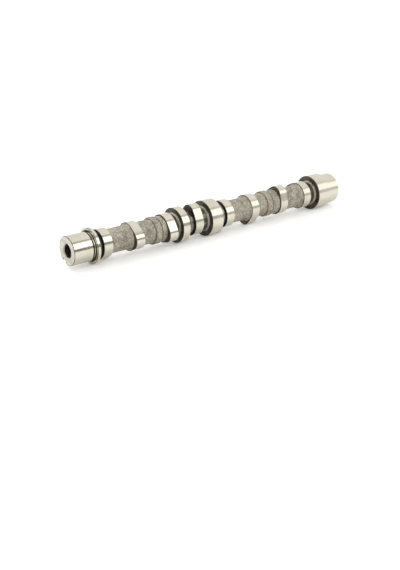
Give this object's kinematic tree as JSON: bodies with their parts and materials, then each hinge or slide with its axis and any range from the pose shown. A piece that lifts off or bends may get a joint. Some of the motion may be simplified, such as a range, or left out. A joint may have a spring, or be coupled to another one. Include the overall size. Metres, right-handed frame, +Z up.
{
  "type": "camshaft",
  "caption": "One-piece cast-iron overhead camshaft with phased pairs of cam lobes, ground bearing journals, a thrust collar and a tapped end for the timing pulley.",
  "frame": {"origin": "on the shaft's axis, at the middle of the centre journal", "axes": "+X along the shaft's axis from the pulley end to the rear journal; +Z up as the shaft lies, with the first lobe's nose pointing down; +Y away from the side shown at azimuth 0"},
  "size_m": [0.3573, 0.0392, 0.0392],
  "materials": {
    "chilled_iron": "as-cast matt skin between ground, satin journals and lobes"
  },
  "bodies": {
    "root": {"camshaft": "chilled_iron"}
  },
  "joints": []
}
